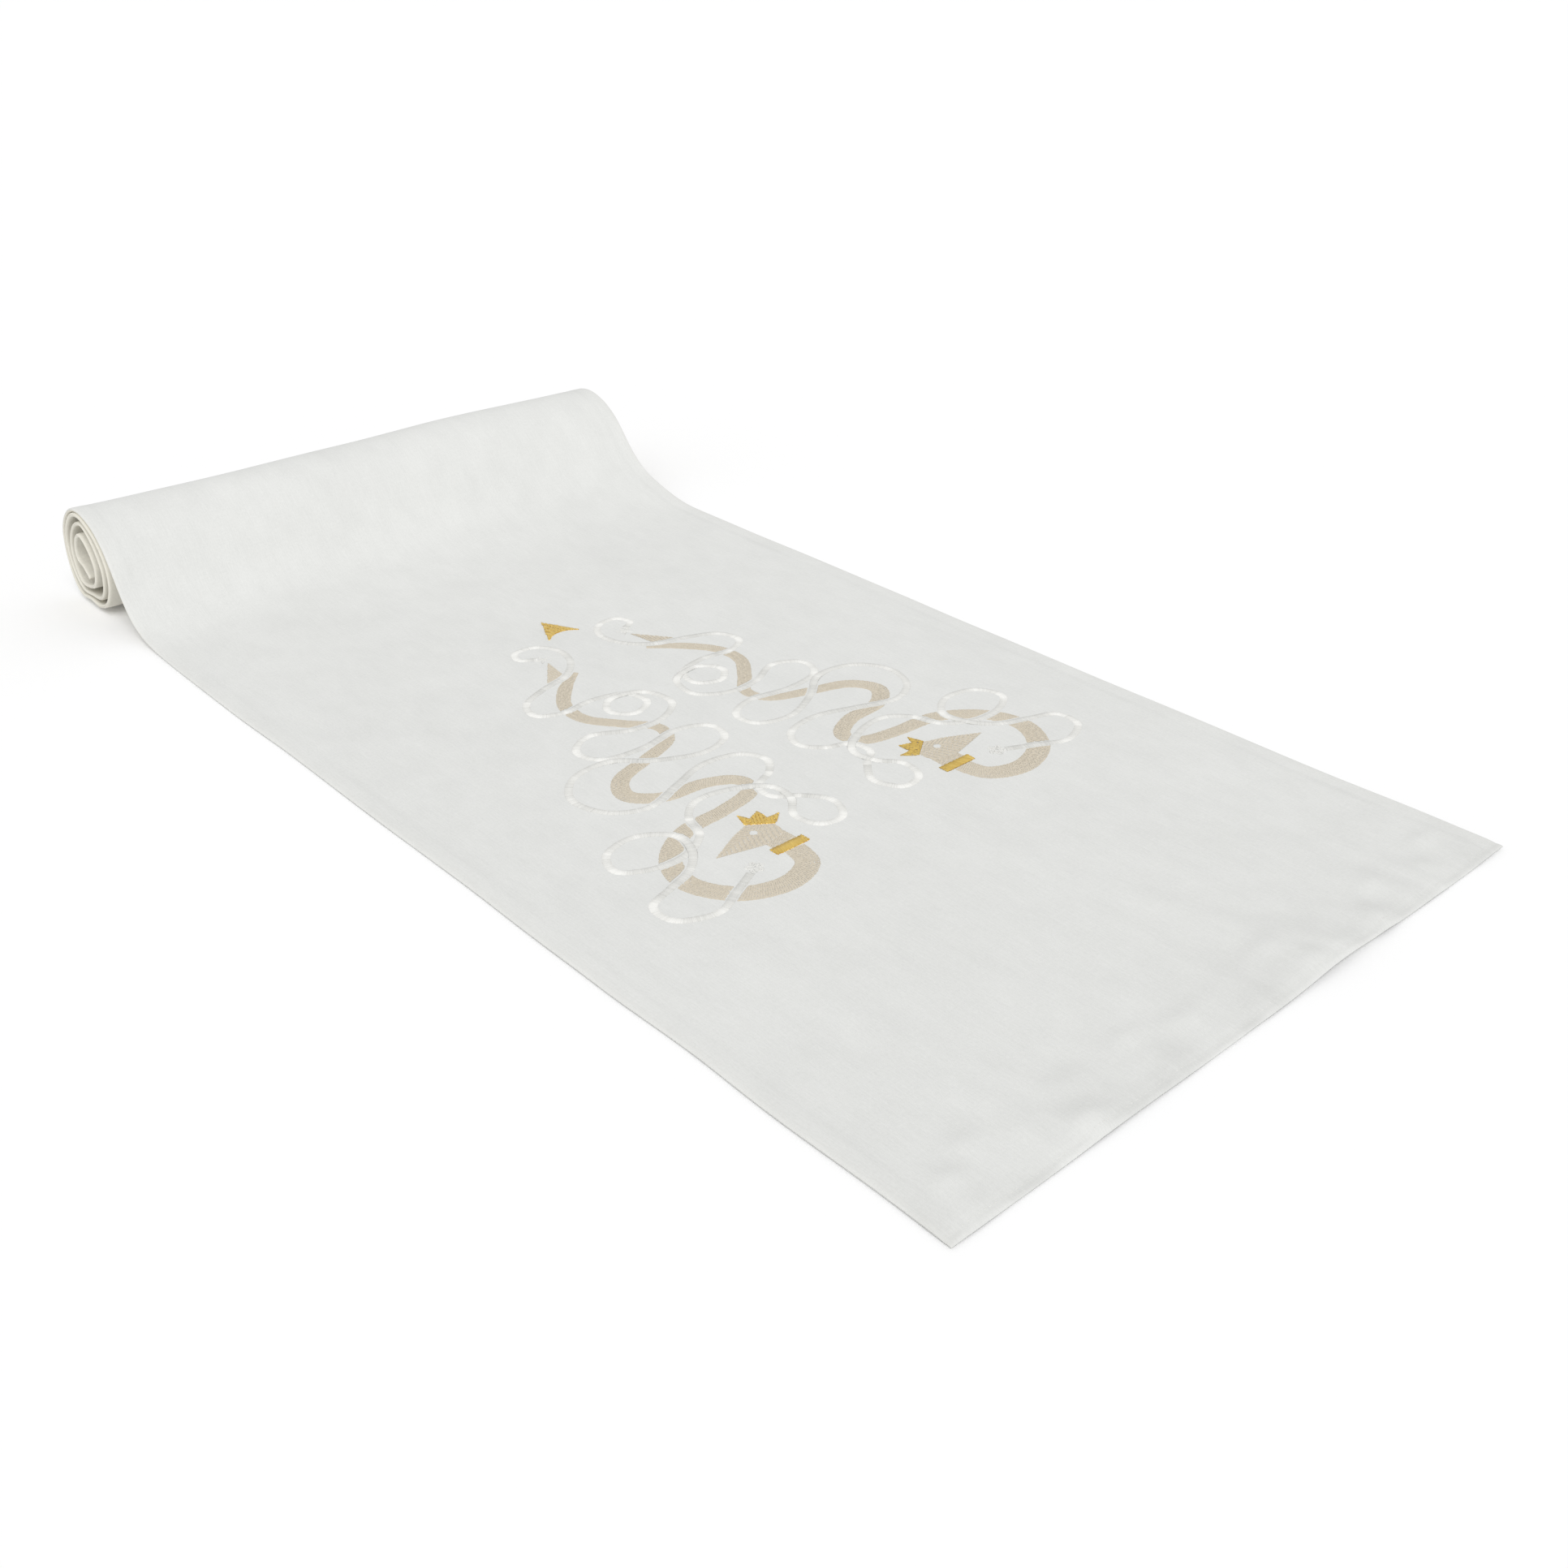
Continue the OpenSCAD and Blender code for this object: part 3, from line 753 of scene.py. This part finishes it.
# The painted highlight is capped at SHINE_MOST, and STRAIGHT_DULL is taken off the whole ribbon as painted
# shade where it runs straight
SHINE_MOST = 1.3
STRAIGHT_DULL = 0.75
CROSSING_LIFT = 0.35  # how far the ribbon rises where it crosses itself
ribbon_stitches, ribbon_row = columns(
    ribbon_line, np.full(len(ribbon_line), RIBBON_W), RIBBON_PITCH,
    clear_of=lambda p: in_rosette(p) | in_tie(p), ragged=0.06)
over_along, over_share = crossing_height()
ribbon_at = ROW_START + RIBBON_PITCH * np.array(ribbon_row)
ribbon_raised = CROSSING_LIFT * np.interp(ribbon_at, over_along, over_share)
# Painted highlight and shade: the ribbon is made brighter where it bends and darker where it runs straight
ribbon_heading = np.unwrap(np.arctan2(*headings(ribbon_line).T[::-1]))
ribbon_bend = np.abs(np.gradient(ribbon_heading, ribbon_along))
ribbon_painted_highlight = np.interp(ribbon_at, ribbon_along, ribbon_bend) * BEND_SHINE
ribbon_painted_highlight = np.clip(ribbon_painted_highlight, 0, SHINE_MOST) - STRAIGHT_DULL

neck_stitches, _ = columns(
    neck_line, neck_width, FILL_PITCH, longest=4.2, ragged=0.2,
    clear_of=lambda p: under_ribbon(p) | in_rosette(p) | in_polygon(p, COLLAR))
bobbin_stitches, _ = columns(neck_line, neck_width * 0.75, 1.1, longest=4.0, ragged=0.2)

head_stitches = filled(in_head, ((-98, 240), (-50, 272)), 12)
tail_stitches = filled(in_tail, ((-52, 458), (-28, 490)), 58)
collar_stitches = filled(lambda p: in_polygon(p, COLLAR), ((-73, 234), (-49, 243)), 72, GOLD_PITCH, 7.5)
crown_stitches = filled(lambda p: in_polygon(p, crown_shape), ((-72, 262), (-40, 282)), 40, GOLD_PITCH, 5.5)
tip_stitches = filled(lambda p: in_polygon(p, TIP) & ~in_circle(p, TIP_ARC[:2], TIP_ARC[2]),
                      ((-12, 513), (12, 539)), 62, GOLD_PITCH, 5.5)


def petals():
    made = []
    for k in range(5):
        at = turned([(ROSETTE_R, 0)], FIFTH * k, ROSETTE_AT)[0]
        box = (at - PETAL_R, at + PETAL_R)
        made += filled(lambda p: in_circle(p, at, PETAL_R), box, FIFTH * k + 90, PETAL_PITCH)
    return made


def star():
    made = []
    for k in range(5):
        shape = turned(TIE_POINT, 18 + FIFTH * k, TIE_AT)
        box = (shape.min(0), shape.max(0))
        made += filled(lambda p: in_polygon(p, shape), box, 18 + FIFTH * k + 80, STAR_PITCH)
    return made


def embroider(name, pairs, finish, slot_name, side, nodes, **how):
    """Sews the stitches on the left half for side = -1, or their mirror image on the right half."""
    pairs = np.array([(a, b) for a, b in pairs])
    if side > 0:
        pairs = pairs * [-1, 1]
    piece = stitches(name, pairs[:, 0], pairs[:, 1], finish, **how)
    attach(piece, "laid_end")
    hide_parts(*nodes)
    return piece


petal_stitches, star_stitches = petals(), star()
# holes in each of these is the painted shade at the needle holes
fill = dict(thick=0.58, flat=0.2, arch=0.16, uneven=0.03, holes=0.45)
metallic = dict(thick=0.8, flat=0.3, arch=0.24, uneven=0.16, holes=0.9)
satin = dict(thick=0.52, flat=0.24, arch=0.2, holes=0.15, lighter=-0.2)
for side, word in ((-1, "left"), (1, "right")):
    jobs = [
        ("neck_fill", neck_stitches, beige_thread, "beige_thread", "neck", fill),
        ("head_fill", head_stitches, beige_thread, "beige_thread", "head", fill),
        ("tail_fill", tail_stitches, beige_thread, "beige_thread", "tail", fill),
        ("collar_satin", collar_stitches, gold_thread, "gold_thread", "collar", metallic),
        ("crown_satin", crown_stitches, gold_thread, "gold_thread", "crown", metallic),
        ("ribbon_satin", ribbon_stitches, ribbon_thread, "ribbon_thread", "ribbon",
         dict(thick=0.55, flat=0.16, arch=0.14, raised=ribbon_raised, holes=0.5, lighter=ribbon_painted_highlight)),
        ("rosette_satin", petal_stitches, ribbon_thread, "ribbon_thread", "rosette", satin),
        ("tie_satin", star_stitches, ribbon_thread, "ribbon_thread", "tie", satin),
        ("bobbin_zigzag", bobbin_stitches, bobbin_thread, "bobbin_thread", "bobbin_thread",
         dict(arch=-0.05, sink=0.05, raised=-CLOTH_T + 0.25, thick=0.3, holes=0.1)),
    ]
    for name, pairs, finish, slot_name, stands_for, how in jobs:
        nodes = [f"{word}_{stands_for}"]
        embroider(f"{word}_{name}", pairs, finish, slot_name, side, nodes, **how)
tip = embroider("gold_tip_satin", tip_stitches, gold_thread, "gold_thread", -1, ["gold_tip"], **metallic)


# ---------------------------------------------------------------- stage, light and camera
FLOOR_HALF = 40.0
FLOOR_Z = -0.00015  # just under the lowest cloth
FLOOR_GLOW = 0.04
WORLD_LIGHT = 0.7
SUN_TOWARDS = (-0.5, -0.8, 1.15)
SUN_LIGHT = 1.25
SUN_WIDE = 35
CAMERA_YAW = 42.15
CAMERA_PITCH = 30.17
CAMERA_LENS = 38.68
CAMERA_AT = (-0.5388, -0.2850, 0.4486)  # from the middle of the flat end


def stage_floor():
    m, tree, shader = material("floor_white")
    grain = node(tree, "ShaderNodeTexNoise", Scale=3.0, Detail=2.0)
    tree.links.new(mixed(tree, grain.outputs["Fac"], (0.955, 0.955, 0.955), (0.965, 0.965, 0.965)),
                   shader.inputs["Base Color"])
    shader.inputs["Roughness"].default_value = 1.0
    shader.inputs["Specular IOR Level"].default_value = 0.0
    shader.inputs["Emission Color"].default_value = (1, 1, 1, 1)
    shader.inputs["Emission Strength"].default_value = FLOOR_GLOW
    corners = [(-1, -1), (1, -1), (1, 1), (-1, 1)]
    verts = np.array([(x * FLOOR_HALF, y * FLOOR_HALF, FLOOR_Z) for x, y in corners])
    floor = new_mesh("floor", verts, np.array([(0, 1, 2, 3)]), material=m)


def soft_sun(name, towards, strength, wide):
    """An even light over the whole floor, from the direction towards. Its disc is wide degrees across."""
    data = bpy.data.lights.new(name, "SUN")
    data.energy, data.angle = strength, math.radians(wide)
    lamp = bpy.data.objects.new(name, data)
    bpy.context.scene.collection.objects.link(lamp)
    lamp.location = towards
    lamp.rotation_euler = (-Vector(towards)).to_track_quat("-Z", "Y").to_euler()


def studio():
    world = bpy.data.worlds.new("studio")
    bpy.context.scene.world = world
    world.use_nodes = True
    back = world.node_tree.nodes["Background"]
    back.inputs["Color"].default_value = (1, 1, 1, 1)
    back.inputs["Strength"].default_value = WORLD_LIGHT
    soft_sun("key_light", SUN_TOWARDS, SUN_LIGHT, SUN_WIDE)
    bpy.context.scene.view_settings.view_transform = "Standard"


def add_camera():
    """Low three-quarter view from the left of the flat end, looking along the runner to the roll."""
    yaw, pitch = math.radians(CAMERA_YAW), math.radians(CAMERA_PITCH)
    data = bpy.data.cameras.new("camera")
    data.sensor_width, data.lens = 36, CAMERA_LENS
    camera = bpy.data.objects.new("camera", data)
    bpy.context.scene.collection.objects.link(camera)
    camera.location = (CAMERA_AT[0], FRONT_Y * MM + CAMERA_AT[1], CAMERA_AT[2])
    look = Vector((math.sin(yaw) * math.cos(pitch), math.cos(yaw) * math.cos(pitch), -math.sin(pitch)))
    camera.rotation_euler = look.to_track_quat("-Z", "Y").to_euler()
    bpy.context.scene.camera = camera


stage_floor()
studio()
add_camera()
